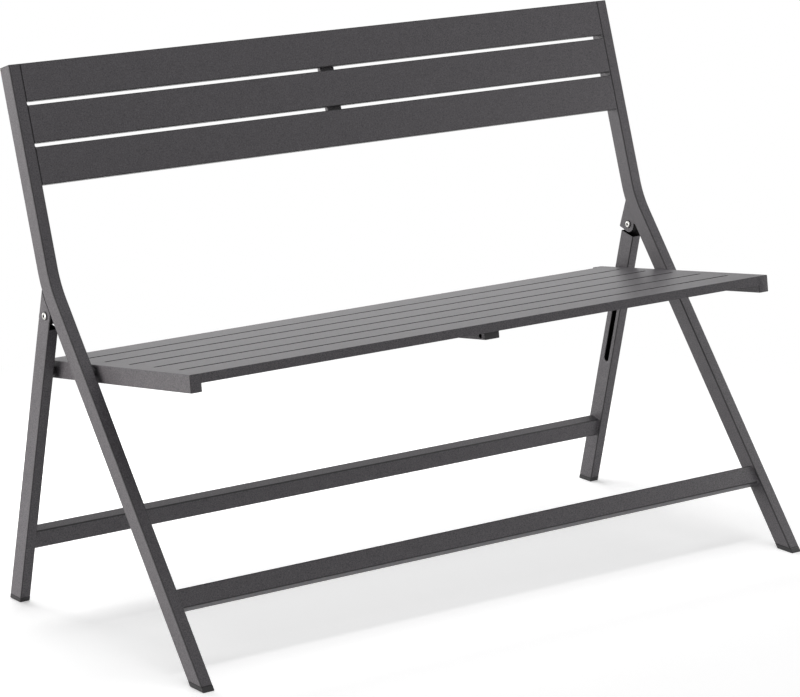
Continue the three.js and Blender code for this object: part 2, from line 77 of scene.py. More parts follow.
def leanBehind(lean):
    # unit vector square to the leg, out of its rear face
    turn = math.radians(lean)
    return np.array([0.0, math.cos(turn), -math.sin(turn)])


def quarterTurn(count):
    # the angles of a quarter circle in even steps
    return np.linspace(0, math.pi / 2, count)


def addPiece(name, mesh):
    mesh.polygons.foreach_set("use_smooth", [True] * len(mesh.polygons))
    piece = bpy.data.objects.new(name, mesh)
    bpy.context.scene.collection.objects.link(piece)
    return piece


def gridFaces(rows, columns, ringRows):
    # Quads between each row and the next, round the closed columns. The rows of a ring close too;
    # any other grid gets one face over each end row.
    row = np.arange(rows if ringRows else rows - 1)[:, None]
    column = np.arange(columns)[None, :]
    nextRow = (row + 1) % rows
    nextColumn = (column + 1) % columns
    corners = (row * columns + column, row * columns + nextColumn,
               nextRow * columns + nextColumn, nextRow * columns + column)
    faces = np.stack(np.broadcast_arrays(*corners), -1).reshape(-1, 4).tolist()
    if not ringRows:
        faces.append(list(range(columns))[::-1])
        faces.append(list(range((rows - 1) * columns, rows * columns)))
    return faces


def gridPiece(name, grid, ringRows=False):
    # A piece from a grid of points in mm. Doubled points are merged and the faces turned outwards.
    mesh = bpy.data.meshes.new(name)
    faces = gridFaces(grid.shape[0], grid.shape[1], ringRows)
    mesh.from_pydata((grid.reshape(-1, 3) * mm).tolist(), [], faces)
    work = bmesh.new()
    work.from_mesh(mesh)
    bmesh.ops.remove_doubles(work, verts=work.verts, dist=meshRule["merge"] * mm)
    bmesh.ops.recalc_face_normals(work, faces=work.faces)
    work.to_mesh(mesh)
    work.free()
    piece = addPiece(name, mesh)
    mesh.set_sharp_from_angle(angle=math.radians(meshRule["sharp"]))
    return piece


arcPoints = 6
cornerTurn = np.concatenate([[0], quarterTurn(arcPoints), [math.pi / 2]])
cornerSlide = np.array([-meshRule["cornerHold"]] + [0] * arcPoints + [meshRule["cornerHold"]])
cornerSigns = ((1, 1), (-1, 1), (-1, -1), (1, -1))
ringAngle = np.concatenate([cornerTurn + corner * math.pi / 2 for corner in range(4)])


def roundedRings(sizesA, sizesB, radii):
    # One rounded rectangle a row: each corner is a quarter circle about a centre that lies the
    # radius inside both sides.
    sizesA, sizesB, radii = (np.atleast_1d(np.asarray(v, float))[:, None]
                             for v in (sizesA, sizesB, radii))
    ringA, ringB = [], []
    for corner, (signA, signB) in enumerate(cornerSigns):
        angle = cornerTurn + corner * math.pi / 2
        cosine, sine = np.cos(angle), np.sin(angle)
        ringA.append(signA * (sizesA / 2 - radii) + radii * cosine - cornerSlide * sine)
        ringB.append(signB * (sizesB / 2 - radii) + radii * sine + cornerSlide * cosine)
    return np.concatenate(ringA, 1), np.concatenate(ringB, 1)


def sectionGrid(centres, rings, axisA, axisB):
    # each row's ring of points about its centre, the ring lying along the two axes
    ringA, ringB = rings
    return centres[:, None, :] + ringA[:, :, None] * axisA + ringB[:, :, None] * axisB


def barGrid(start, end, axisA, axisB, sizeA, sizeB, radius, edge=0.4):
    # A straight bar: the rounded section carried from start to end. A quarter circle at each end
    # draws the section in, so that the lids are rounded off.
    length = np.linalg.norm(end - start)
    turn = quarterTurn(5)
    near = np.concatenate([edge - edge * np.cos(turn), [edge + meshRule["endHold"]]])
    drawn = np.concatenate([edge - edge * np.sin(turn), [0]])
    stations = np.concatenate([near, length - near[::-1]])
    drawn = np.concatenate([drawn, drawn[::-1]])
    rings = roundedRings(sizeA - 2 * drawn, sizeB - 2 * drawn,
                         radius - np.minimum(drawn, radius * meshRule["cornerLoss"]))
    centres = start + (end - start) / length * stations[:, None]
    return sectionGrid(centres, rings, axisA, axisB)


weld = {
    "hold": 1.0,            # the plain section starts this far before the bead
    "sink": 0.5,            # the bar runs on this far into the leg
    "seam": 0.6,            # width of the open seam beside the back planks
    "seamDepth": 2.4,
    "seamWall": 0.02,       # the seam's wall, drawn a little off upright
    "clear": 3,             # painted dark lines along edges stay this far from the leg
}


def weldedGrid(bar, centre, reach, axisA, axisB, seam=False, topBead=1):
    # A bar across the bench, welded at both ends: over the bead's size it swells outwards on a
    # hollow quarter circle, offset = bead * (1 - cos), distance from the leg = bead * (1 - sin).
    # With a seam the front has no bead and steps back there; topBead 0 leaves the top plain too.
    bead = bar["bead"]
    turn = quarterTurn(6)
    distance = np.concatenate([[bead + weld["hold"]], bead * (1 - np.sin(turn)), [-weld["sink"]]])
    swell = np.concatenate([[0], bead * (1 - np.cos(turn)), [bead]])
    if seam:
        split = np.searchsorted(-distance, -weld["seam"])
        distance = np.insert(distance, split, [weld["seam"] + weld["seamWall"], weld["seam"]])
        swell = np.insert(swell, split, [swell[split]] * 2)
    step = np.where(distance <= weld["seam"], -weld["seamDepth"], 0.0)
    step = np.concatenate([step[::-1], step])[:, None]
    places = np.concatenate([-(reach - distance[::-1]), reach - distance])
    swell = np.concatenate([swell[::-1], swell])[:, None]
    ringA, ringB = roundedRings(bar["height"], bar["depth"], bar["radius"])
    outA, outB = np.cos(ringAngle), np.sin(ringAngle)
    facesFront = outB < -0.01
    ringA = ringA + swell * np.where(outA > 0, outA * topBead, outA)
    ringB = ringB + outB * np.where(facesFront, step if seam else swell, swell)
    return sectionGrid(centre + across * places[:, None], (ringA, ringB), axisA, axisB)


def finishPiece(piece, body, material, slot, *replaced):
    piece.data.materials.clear()
    piece.data.materials.append(material)
    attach(piece, body)
    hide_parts(*replaced)
    return piece


def roundEdges(piece, bevel):
    # the small radius along every sharp edge, with the flat faces kept flat
    edges = piece.modifiers.new("edgeRadius", "BEVEL")
    edges.width = bevel * mm
    edges.segments = meshRule["radiusSteps"]
    edges.limit_method = "ANGLE"
    edges.angle_limit = math.radians(meshRule["rounded"])
    flats = piece.modifiers.new("flatFaces", "WEIGHTED_NORMAL")
    flats.weight = meshRule["flatWeight"]
    flats.keep_sharp = True


def meltedCopy(name, node, bevel, body, material, slot):
    # A CAD node whose outline is right: its triangles are merged to whole faces before its edges
    # are rounded.
    mesh = nodes[node].data.copy()
    mesh.name = name
    work = bmesh.new()
    work.from_mesh(mesh)
    bmesh.ops.remove_doubles(work, verts=work.verts, dist=meshRule["cadMerge"] * mm)
    bmesh.ops.dissolve_limit(work, angle_limit=math.radians(meshRule["cadFlat"]),
                             verts=work.verts, edges=work.edges)
    work.to_mesh(mesh)
    work.free()
    piece = addPiece(name, mesh)
    roundEdges(piece, bevel)
    return finishPiece(piece, body, material, slot, node)


def meshValues(items, key, width=1):
    # one value, or a row of them, for each face, edge, corner or point
    values = np.empty(len(items) * width)
    items.foreach_get(key, values)
    return values.reshape(-1, width) if width > 1 else values


def darken(piece, material, *tests):
    # a further material on the faces whose middles, in mm, pass every test; each use here paints
    # shade
    mesh = piece.data
    middle = meshValues(mesh.polygons, "center", 3) / mm
    inside = np.all([test(middle) for test in tests], axis=0)
    mesh.materials.append(material)
    index = np.where(inside, len(mesh.materials) - 1, meshValues(mesh.polygons, "material_index"))
    mesh.polygons.foreach_set("material_index", index.astype(int).tolist())


def paintedEdgeLines(piece, *tests, widest=0.6):
    # Painted shade: the dark line along rounded edges, on the narrow faces: width = area over half
    # the outline.
    mesh = piece.data
    ends = meshValues(mesh.edges, "vertices", 2).astype(int)
    points = meshValues(mesh.vertices, "co", 3) / mm
    lengths = np.linalg.norm(points[ends[:, 0]] - points[ends[:, 1]], axis=1)
    outline = np.add.reduceat(lengths[meshValues(mesh.loops, "edge_index").astype(int)],
                              meshValues(mesh.polygons, "loop_start").astype(int))
    narrow = meshValues(mesh.polygons, "area") / mm ** 2 * 2 / outline < widest
    darken(piece, paintedEdgeShadeCoat, lambda middle: narrow, *tests)


def linearColour(hexText):
    # sRGB hex to linear: the low end is straight, the rest follows the 2.4 power curve
    parts = [int(hexText[i:i + 2], 16) / 255 for i in (1, 3, 5)]
    return tuple(c / 12.92 if c <= 0.04045 else ((c + 0.055) / 1.055) ** 2.4
                 for c in parts) + (1.0,)


def addNode(tree, kind, settings=None, links=None):
    # one node; settings name its properties or input sockets, links name sockets and their source
    node = tree.nodes.new(kind)
    for key, value in (settings or {}).items():
        if isinstance(key, str) and hasattr(node, key):
            setattr(node, key, value)
        else:
            node.inputs[key].default_value = value
    for key, source in (links or {}).items():
        tree.links.new(source, node.inputs[key])
    return node


def newMaterial(name):
    material = bpy.data.materials.new(name)
    material.use_nodes = True
    material.node_tree.nodes.clear()
    return material, material.node_tree


def noiseShare(tree, size, detail, roughness=0.5):
    # noise fixed to the piece, from 0 to 1; its scale is one over the grain's size in metres
    place = addNode(tree, "ShaderNodeTexCoord").outputs["Object"]
    noise = addNode(tree, "ShaderNodeTexNoise",
                    {"Scale": 1 / (size * mm), "Detail": detail, "Roughness": roughness},
                    {"Vector": place})
    return noise.outputs["Fac"]


def finishSurface(tree, look, grain, share, ramp=(0, 1)):
    # The share picks the colour between the look's two, the grain its roughness and its bump.
    tint = addNode(tree, "ShaderNodeValToRGB", links={"Fac": share})
    for element, position, colour in zip(tint.color_ramp.elements, ramp, look["colours"]):
        element.position = position
        element.color = linearColour(colour)
    low, high = look["roughness"]
    rough = addNode(tree, "ShaderNodeMapRange", {"To Min": low, "To Max": high}, {"Value": grain})
    links = {"Base Color": tint.outputs["Color"], "Roughness": rough.outputs["Result"]}
    if "bump" in look:
        bump = addNode(tree, "ShaderNodeBump",
                       {"Strength": look["bump"], "Distance": look["depth"] * mm},
                       {"Height": grain})
        links["Normal"] = bump.outputs["Normal"]
    shader = addNode(tree, "ShaderNodeBsdfPrincipled", look["shader"], links)
    addNode(tree, "ShaderNodeOutputMaterial", links={"Surface": shader.outputs[0]})


coatLook = {
    "grain": 1.9,           # mm; the real texture is nearer 0.3 mm, drawn coarser so that it shows
    "grainShare": 1.25,
    "grainShift": -0.215,
    "cloud": 18,            # mm, the slow unevenness of a sprayed film
    "cloudShare": 0.18,
    "ramp": (0.2, 0.8),
    "roughness": (0.40, 0.54),
    "bump": 0.26,
    "depth": 0.2,           # mm
    "shader": {"IOR": 1.46},
}


def powderCoat(name, light, dark):
    # Polyester powder coat, sprayed and baked on aluminium: a satin anthracite film with a fine
    # sandy texture, which scatters the highlight and goes pale where it is seen at a low angle.
    # The share of the light colour = grain * grainShare + grainShift + cloud * cloudShare.
    material, tree = newMaterial(name)
    look = {**coatLook, "colours": (dark, light)}
    grain = noiseShare(tree, look["grain"], 2.0, 0.6)
    cloud = noiseShare(tree, look["cloud"], 3.0, 0.55)
    speck = addNode(tree, "ShaderNodeMath",
                    {"operation": "MULTIPLY_ADD", 1: look["grainShare"], 2: look["grainShift"]},
                    {0: grain})
    share = addNode(tree, "ShaderNodeMath", {"operation": "MULTIPLY_ADD", 1: look["cloudShare"]},
                    {0: cloud, 2: speck.outputs[0]})
    finishSurface(tree, look, grain, share.outputs[0], look["ramp"])
    return material


def grainyMaterial(name, look):
    # one noise for the colour, the roughness and, where the look has one, the bump
    material, tree = newMaterial(name)
    grain = noiseShare(tree, look["grain"], look["detail"])
    finishSurface(tree, look, grain, grain)
    return material


# injection moulded polyethylene, black, with a spark-eroded grain: dull, with a soft wide sheen
plasticLook = {"grain": 0.9, "detail": 2.0, "colours": ("#131214", "#201e21"),
               "roughness": (0.5, 0.64), "bump": 0.2, "depth": 0.15, "shader": {"IOR": 1.5}}
# stainless steel, turned and tumbled: pale, with a satin highlight and faint uneven wear
steelLook = {"grain": 1.6, "detail": 3.0, "colours": ("#b9b8b4", "#dad9d5"),
             "roughness": (0.24, 0.4), "shader": {"Metallic": 1.0}}
# painted shade: near-black dull metal standing in for the shade inside the legs, in the seat's
# grooves, on the hinge boss's rim and in the screws' sockets
paintedShadeLook = {"grain": 2.0, "detail": 3.0, "roughness": (0.6, 0.8), "shader": {"IOR": 1.2}}

coat = powderCoat("anthracitePowderCoat", "#6a676b", "#39363a")
# painted shade: a darker copy of the coat, drawn as a dark line along the tubes' rounded corners
paintedEdgeShadeCoat = powderCoat("paintedEdgeShadeOnCorners", "#353336", "#1c1a1d")
plastic = grainyMaterial("blackMouldedPlastic", plasticLook)
steel = grainyMaterial("satinStainlessSteel", steelLook)
# painted shade for hollows, grooves and the boss's rim, and for the screws' sockets
paintedShadeMaterial = grainyMaterial("paintedShadeDarkMetal", {**paintedShadeLook, "colours": ("#0b0a0b", "#161416")})
paintedSocketShade = grainyMaterial("paintedSocketShadeMetal", {**paintedShadeLook, "colours": ("#141312", "#262422")})
slotMaterial = {"coated_metal": coat, "black_plastic": plastic, "steel": steel}
nodeSlot = {row["node"]: row["material_slot"] for row in frame["record"]["subparts"]}
for nodeName, nodeObject in nodes.items():
    nodeObject.data.materials.clear()
    nodeObject.data.materials.append(slotMaterial[nodeSlot[nodeName]])
print("materials ready")


# each front leg and back upright is one bent tube
bentTube = {
    "width": 20.6,
    "depth": 29.5,
    "radius": 1.6,
    "legLean": 37.9,
    "backLean": 18.6,
    "bendHeight": 543,
    "bendRadius": 155,      # inside radius, on the front face
    "bendSteps": 24,
    "legRows": np.linspace(0.07, 0.98, 7),      # rows along the straights, as shares of them
    "backRows": np.linspace(0.03, 0.97, 6),
    "footHeight": 8,
    "footEdge": 0.35,
    "footHold": 1.2,
    "lidEdge": 0.9,
}
legUp, legOut = leanAlong(bentTube["legLean"]), leanBehind(bentTube["legLean"])
backUp, backOut = leanAlong(bentTube["backLean"]), leanBehind(bentTube["backLean"])
legInner = bench["halfWidth"] - bentTube["width"]
footPoint = np.array([0, bench["footFront"], 0])
bendCorner = footPoint + legUp * bentTube["bendHeight"] / legUp[2]
bendTurn = math.radians(bentTube["legLean"] - bentTube["backLean"])
bendTangent = bentTube["bendRadius"] * math.tan(bendTurn / 2)
bendCentre = bendCorner - legUp * bendTangent - legOut * bentTube["bendRadius"]
backLength = (bench["height"] - bentTube["bendHeight"]) / backUp[2]
topFront = bendCorner + backUp * backLength


def bentTubeGrid(side):
    # The section is carried up the lower leg, round the bend and up the back. The rows of the foot
    # are slid along the leg onto level planes, and the top rows are drawn in to round the lid.
    t = bentTube
    lower, upper = math.radians(t["legLean"]), math.radians(t["backLean"])
    upLength = backLength - bendTangent
    downLength = t["bendHeight"] / legUp[2] - bendTangent
    bend = np.linspace(lower, upper, t["bendSteps"] + 1)
    turn = quarterTurn(5)
    lid = upLength - t["lidEdge"] * (1 - np.sin(turn))
    footLevels = [0, t["footEdge"], t["footHold"]]
    legRises = np.concatenate([footLevels, t["legRows"] * downLength]) - downLength
    backRises = np.concatenate([t["backRows"] * upLength, [lid[0] - meshRule["endHold"]], lid])
    rises = np.concatenate([legRises, np.zeros(len(bend)), backRises])
    leans = np.concatenate([np.full(len(legRises), lower), bend, np.full(len(backRises), upper)])
    drawn = np.zeros(len(rises))
    drawn[0] = t["footEdge"]
    drawn[-len(turn):] = t["lidEdge"] * (1 - np.cos(turn))
    alongs = np.stack([np.zeros_like(leans), np.sin(leans), np.cos(leans)], -1)
    behinds = np.stack([np.zeros_like(leans), np.cos(leans), -np.sin(leans)], -1)
    centres = bendCentre + behinds * (t["bendRadius"] + t["depth"] / 2) + alongs * rises[:, None]
    centres[:, 0] = side * (bench["halfWidth"] - t["width"] / 2)
    rings = roundedRings(t["width"] - 2 * drawn, t["depth"] - 2 * drawn, t["radius"] - drawn)
    grid = sectionGrid(centres, rings, across, behinds[:, None, :])
    for row, level in enumerate(footLevels):
        drop = (t["footHeight"] + level - grid[row, :, 2]) / legUp[2]
        grid[row] += drop[:, None] * legUp
    return grid


for sideName, side in sides.items():
    tube = gridPiece(f"bent_tube_{sideName}", bentTubeGrid(side))
    finishPiece(tube, "front_frame", coat, "coated_metal",
                f"upright_{sideName}", f"upright_cap_{sideName}")
    # painted shade: a dark line along the tube's rounded corners
    paintedEdgeLines(tube)
print("bent tubes ready")


rearLeg = {
    "width": 18,
    "depth": 31.8,
    "lean": -12.85,
    "hingeInset": 14,       # the hinge axis lies this far behind the leg's front face
    "edge": 0.2,
    "wall": 1.5,            # faces further in than this are the tube's inside, which gets painted shade
    "corner": 1.4,          # faces nearer a corner than this can carry its painted dark line
}
rearUp, rearOut = leanAlong(rearLeg["lean"]), leanBehind(rearLeg["lean"])

# foot plugs, a little proud of the tubes; the lip under the tube is drawn in
footPlug = {"height": 7.7, "edge": 1.8, "lip": 0.4, "lipHeight": 0.25, "hold": 1.0,
            "cornerLoss": 0.5}
frontFoot = {"width": 21.0, "depth": 29.9, "radius": 1.8, "lean": bentTube["legLean"]}
rearFoot = {"width": 18.4, "depth": 32.2, "radius": 1.7, "lean": rearLeg["lean"]}


def footGrid(foot, tube, legFront, side):
    # The leg's section slid along the leg onto level planes: a flat top, then a rounded edge to
    # the sole.
    p = footPlug
    turn = quarterTurn(6)
    levels = np.concatenate([[p["height"], p["height"] - p["lipHeight"], p["height"] - p["hold"]],
                             p["edge"] * (1 - np.sin(turn))])
    drawn = np.concatenate([[p["lip"], 0.0, 0.0], p["edge"] * (1 - np.cos(turn))])
    rings = roundedRings(foot["width"] - 2 * drawn, foot["depth"] - 2 * drawn,
                         foot["radius"] - np.minimum(drawn, foot["radius"] * p["cornerLoss"]))
    along, behind = leanAlong(foot["lean"]), leanBehind(foot["lean"])
    middle = side * (bench["halfWidth"] - tube["width"] / 2)
    centre = np.array([middle, legFront, 0]) + behind * tube["depth"] / 2
    section = sectionGrid(centre[None], rings, across, behind)
    drop = (levels[:, None] - section[:, :, 2]) / along[2]
    return section + drop[:, :, None] * along


rearFront = bench["footRear"] - rearLeg["depth"] / rearUp[2]
for sideName, side in sides.items():
    shoe = gridPiece(f"front_shoe_{sideName}",
                     footGrid(frontFoot, bentTube, bench["footFront"], side))
    finishPiece(shoe, "front_frame", plastic, "black_plastic", f"front_foot_{sideName}")
    shoe = gridPiece(f"rear_shoe_{sideName}", footGrid(rearFoot, rearLeg, rearFront, side))
    finishPiece(shoe, "rear_frame", plastic, "black_plastic", f"rear_foot_{sideName}")
print("feet ready")


backSlat = {"height": 59.8, "depth": 15, "gap": 6.4, "radius": 1.0, "bead": 1.7}
batten = {"width": 28, "depth": 8, "inset": 10, "radius": 1.2, "clearance": 0.3}


def clearOfWelds(middle):
    return np.abs(middle[:, 0]) < legInner - weld["clear"]


for index, name in enumerate(("top", "middle", "bottom")):
    down = backSlat["height"] / 2 + index * (backSlat["height"] + backSlat["gap"])
    centre = topFront - backUp * down + backOut * backSlat["depth"] / 2
    slat = gridPiece(f"back_plank_{name}", weldedGrid(
        backSlat, centre, legInner, backUp, backOut, seam=True, topBead=min(index, 1)))
    finishPiece(slat, "front_frame", coat, "coated_metal", f"back_slat_{name}")
    # painted shade: a dark line along the plank's edges, clear of the welds
    paintedEdgeLines(slat, clearOfWelds)

span = 3 * backSlat["height"] + 2 * backSlat["gap"]
battenMiddle = topFront + backOut * (backSlat["depth"] + batten["clearance"] + batten["depth"] / 2)
strip = gridPiece("back_strip", barGrid(
    battenMiddle - backUp * (span - batten["inset"]), battenMiddle - backUp * batten["inset"],
    across, backOut, batten["width"], batten["depth"], batten["radius"]))
finishPiece(strip, "front_frame", coat, "coated_metal", "back_batten")
print("back ready")


crossRail = {"height": 31.2, "depth": 20.8, "radius": 1.6, "bead": 2.0,
             "frontLevel": 111, "rearLevel": 108}
hinge = np.array([0, 154.2142, 491.1113])      # y and z of the hinge axis

frontRise = (crossRail["frontLevel"] + bentTube["depth"] / 2 * legUp[1]) / legUp[2]
frontCentre = footPoint + legUp * frontRise + legOut * bentTube["depth"] / 2
rail = gridPiece("front_stretcher", weldedGrid(crossRail, frontCentre, legInner, legUp, legOut))
finishPiece(rail, "front_frame", coat, "coated_metal", "front_rail")
# painted shade: a dark line along the rail's edges, clear of the welds
paintedEdgeLines(rail, clearOfWelds)

rearAcross = rearLeg["depth"] / 2 - rearLeg["hingeInset"]
rearRise = (crossRail["rearLevel"] - hinge[2] - rearOut[2] * rearAcross) / rearUp[2]
rearCentre = hinge + rearUp * rearRise + rearOut * rearAcross
rearInner = bench["halfWidth"] - rearLeg["width"]
rail = gridPiece("rear_stretcher", weldedGrid(crossRail, rearCentre, rearInner, rearUp, rearOut))
finishPiece(rail, "rear_frame", coat, "coated_metal", "rear_rail")
# painted shade: a dark line along the rail's edges, clear of the welds
paintedEdgeLines(rail, clearOfWelds)
print("cross rails ready")


def inRearLeg(middle, legMiddle):
    # how far the points lie from the rear leg's middle, across the bench and through the leg
    return np.stack([np.abs(middle[:, 0] - legMiddle),
                     np.abs((middle - hinge) @ rearOut - rearAcross)])


for sideName, side in sides.items():
    leg = meltedCopy(f"slotted_leg_{sideName}", f"rear_leg_{sideName}", rearLeg["edge"],
                     "rear_frame", coat, "coated_metal")
    legMiddle = side * (bench["halfWidth"] - rearLeg["width"] / 2)
    halfLeg = np.array([rearLeg["width"], rearLeg["depth"]])[:, None] / 2
    # painted shade on the tube's inside, and a painted dark line along its outer corners
    darken(leg, paintedShadeMaterial, lambda middle: np.all(
        inRearLeg(middle, legMiddle) < halfLeg - rearLeg["wall"], axis=0))
    paintedEdgeLines(leg, lambda middle: np.all(
        inRearLeg(middle, legMiddle) > halfLeg - rearLeg["corner"], axis=0))
print("rear legs ready")


gusset = {
    "boss": 14.0,           # radius about the hinge
    "bossEnd": 288,         # degrees, where the boss meets the line to the heel
    "heelBack": 23.4,
    "heelDrop": 7.2,
    "edgeLean": -17,        # of the straight rear edge
    "notchRise": 3,         # the lower edge runs to the tube this far above the hinge
    "inside": 2.2,          # the outline runs this far inside the tube
    "runOn": (60, 80),      # straights above and below the bend
    "outer": 597.8,
    "edgeRadius": 0.5,
    "rim": 0.4,             # faces this near the boss's arc are its rim, which gets painted shade
}


def gussetOutline():
    # Side outline: the straight rear edge, down the tube's back face (a circle round the bend
    # between two straights, a little inside the tube), then the boss, an arc about the hinge, and
    # to the heel. The edge's upper end lies where the distance beyond it changes sign.
    g = gusset
    reach = bentTube["bendRadius"] + bentTube["depth"] - g["inside"]
    bend = np.linspace(math.radians(bentTube["backLean"]), math.radians(bentTube["legLean"]), 25)
    arc = bendCentre + reach * np.stack([0 * bend, np.cos(bend), -np.sin(bend)], -1)
    above, below = g["runOn"]
    face = np.concatenate([[arc[0] + backUp * above], arc, [arc[-1] - legUp * below]])
    heel = hinge + np.array([0, g["heelBack"], -g["heelDrop"]])
    beyond = (face - heel) @ leanBehind(g["edgeLean"])
    hit = np.argmax(beyond < 0)
    share = beyond[hit - 1] / (beyond[hit - 1] - beyond[hit])
    top = face[hit - 1] + (face[hit] - face[hit - 1]) * share
    notchLevel = hinge[2] + g["notchRise"]
    kept = face[hit:]
    kept = kept[kept[:, 2] > notchLevel + meshRule["endHold"]]
    straight = arc[-1] + legUp * (notchLevel - arc[-1][2]) / legUp[2]
    start = math.pi - math.asin(g["notchRise"] / g["boss"])
    turn = np.linspace(start, math.radians(g["bossEnd"]), 40)
    boss = hinge + g["boss"] * np.stack([0 * turn, np.cos(turn), np.sin(turn)], -1)
    return np.concatenate([[heel, top], kept, [straight], boss])


def fromHinge(middle):
    return np.hypot(middle[:, 1] - hinge[1], middle[:, 2] - hinge[2])


outline = gussetOutline()
for sideName, side in sides.items():
    faces = [outline + across * side * x for x in (legInner, gusset["outer"])]
    plate = gridPiece(f"hinge_gusset_{sideName}", np.stack(faces))
    roundEdges(plate, gusset["edgeRadius"])
    finishPiece(plate, "front_frame", coat, "coated_metal", f"hinge_bracket_{sideName}")
    # painted shade on the boss's rim, which faces down into the joint
    darken(plate, paintedShadeMaterial,
           lambda middle: np.abs(fromHinge(middle) - gusset["boss"]) < gusset["rim"])
print("hinge brackets ready")


# the seat's front top edge, and its tilt to the back in degrees
seatFrame = {"edge": (0, -213.8075, 468.2908), "tilt": 8.2664}
seatRail = {
    "inner": 552.4,
    "width": 20,
    "height": 28,
    "length": 436,
    "radius": 1.5,
    "edge": 0.8,
    "lineLead": 1.2,        # the painted dark line along its edges: this far back from the front end
    "lineDrop": 1.5,        # and from this far under the seat's top
    "plug": 2.4,
    "plugEdge": 0.9,
    "plugLap": 0.1,
    "inset": 0.1,
}
seatSlat = {
    "count": 6,
    "width": 67,
    "thickness": 14.7,
    "gap": 4.4,
    "radius": 0.2,
    "relief": 0.9,          # each long edge is drawn in by this, for the coat's clean groove
    "tongue": 6,            # the grooves end this far before the side tubes
    "lap": 0.02,            # the planks' ends lap by twice this
    "lapRadius": 0.3,
    "overhang": 0.1,        # the planks end this far past the side tube's rounded edge
    "holds": (0.4, 0.3),    # rows this far before and after the groove's rounded end
    "wallMargin": 0.1,      # faces this near a groove's wall are the wall, which gets painted shade
    "endMargin": 1,         # no walls are this near the seat's front and rear faces
}
midBar = {"width": 28, "height": 12.7, "start": 12, "end": 412, "edge": 0.3,
          "lid": 2, "lidRadius": 1.0, "lidEdge": 0.7, "clearance": 0.3, "inset": 0.1}

seatEdge = np.array(seatFrame["edge"], float)
seatBack = leanBehind(seatFrame["tilt"])
seatUp = leanAlong(seatFrame["tilt"])
pitch = seatSlat["width"] + seatSlat["gap"]
seatDepth = seatSlat["count"] * pitch - seatSlat["gap"]
grooveReach = seatRail["inner"] - seatSlat["tongue"]


def onSeat(lead, drop, x=0.0):
    # a point of the seat: how far back along it, how far under its top, and its place across
    return seatEdge + seatBack * lead - seatUp * drop + across * x


def seatLead(points):
    # how far back along the seat the points lie
    return (points - seatEdge) @ seatBack


def seatDrop(points):
    # how far under the seat's top the points lie
    return (seatEdge - points) @ seatUp


def slatGrid(index):
    # A plank across the seat. Past the grooves' ends it widens by half the groove to meet its
    # neighbour, on a quarter circle, and it runs on over the rounded edge of the side tube.
    s = seatSlat
    turn = quarterTurn(6)
    halfGap = s["gap"] / 2
    arc = grooveReach - halfGap * (1 - np.sin(turn))
    reach = seatRail["inner"] + seatRail["radius"] + s["overhang"]
    before, after = s["holds"]
    half = np.concatenate([[0, arc[0] - before], arc, [arc[-1] + after, reach]])
    widest = halfGap + s["lap"]
    widen = np.concatenate([[0, 0], widest * (1 - np.cos(turn)), [widest] * 2])
    places = np.concatenate([-half[::-1], half[1:]])
    wide = np.concatenate([widen[::-1], widen[1:]])
    edge = np.where(wide < halfGap, wide - s["relief"], wide)
    front = np.where(index == 0, 0, edge)
    back = np.where(index == s["count"] - 1, 0, edge)
    lead = index * pitch + (s["width"] - front + back) / 2
    rings = roundedRings(s["width"] + front + back, np.full_like(wide, s["thickness"]),
                         np.where(wide > halfGap, s["lapRadius"], s["radius"]))
    centres = onSeat(0, s["thickness"] / 2) + seatBack * lead[:, None] + across * places[:, None]
    return sectionGrid(centres, rings, seatBack, seatUp)


for index in range(seatSlat["count"]):
    slat = gridPiece(f"seat_plank_{index + 1}", slatGrid(index))
    finishPiece(slat, "seat", coat, "coated_metal", f"seat_slat_{index + 1}")
    # painted shade on the walls of the grooves, under the rounded edges
    plankMiddle = index * pitch + seatSlat["width"] / 2
    wallReach = seatSlat["width"] / 2 - seatSlat["relief"] - seatSlat["wallMargin"]
    darken(slat, paintedShadeMaterial,
           lambda middle: np.abs(middle[:, 0]) < grooveReach,
           lambda middle: seatDrop(middle) > seatSlat["radius"],
           lambda middle: np.abs(seatLead(middle) - plankMiddle) > wallReach,
           lambda middle: seatLead(middle) > seatSlat["endMargin"],
           lambda middle: seatLead(middle) < seatDepth - seatSlat["endMargin"])

halfDrop = seatRail["height"] / 2
for sideName, side in sides.items():
    x = side * (seatRail["inner"] + seatRail["width"] / 2)
    rear = seatRail["length"]
    plugStart = rear - seatRail["plug"]
    tube = gridPiece(f"seat_side_tube_{sideName}", barGrid(
        onSeat(0, halfDrop, x), onSeat(plugStart + seatRail["plugLap"], halfDrop, x),
        across, seatUp, seatRail["width"], seatRail["height"], seatRail["radius"],
        edge=seatRail["edge"]))
    finishPiece(tube, "seat", coat, "coated_metal",
                f"seat_rail_{sideName}", f"seat_rail_front_cap_{sideName}")
    # painted shade: a dark line round the tube's front end
    paintedEdgeLines(tube, lambda middle: seatLead(middle) < seatRail["lineLead"],
              lambda middle: seatDrop(middle) > seatRail["lineDrop"])
    plug = gridPiece(f"seat_tube_plug_{sideName}", barGrid(
        onSeat(plugStart, halfDrop, x), onSeat(rear, halfDrop, x),
        across, seatUp, seatRail["width"] - seatRail["inset"],
        seatRail["height"] - seatRail["inset"], seatRail["radius"], edge=seatRail["plugEdge"]))
    finishPiece(plug, "seat", plastic, "black_plastic", f"seat_rail_rear_cap_{sideName}")

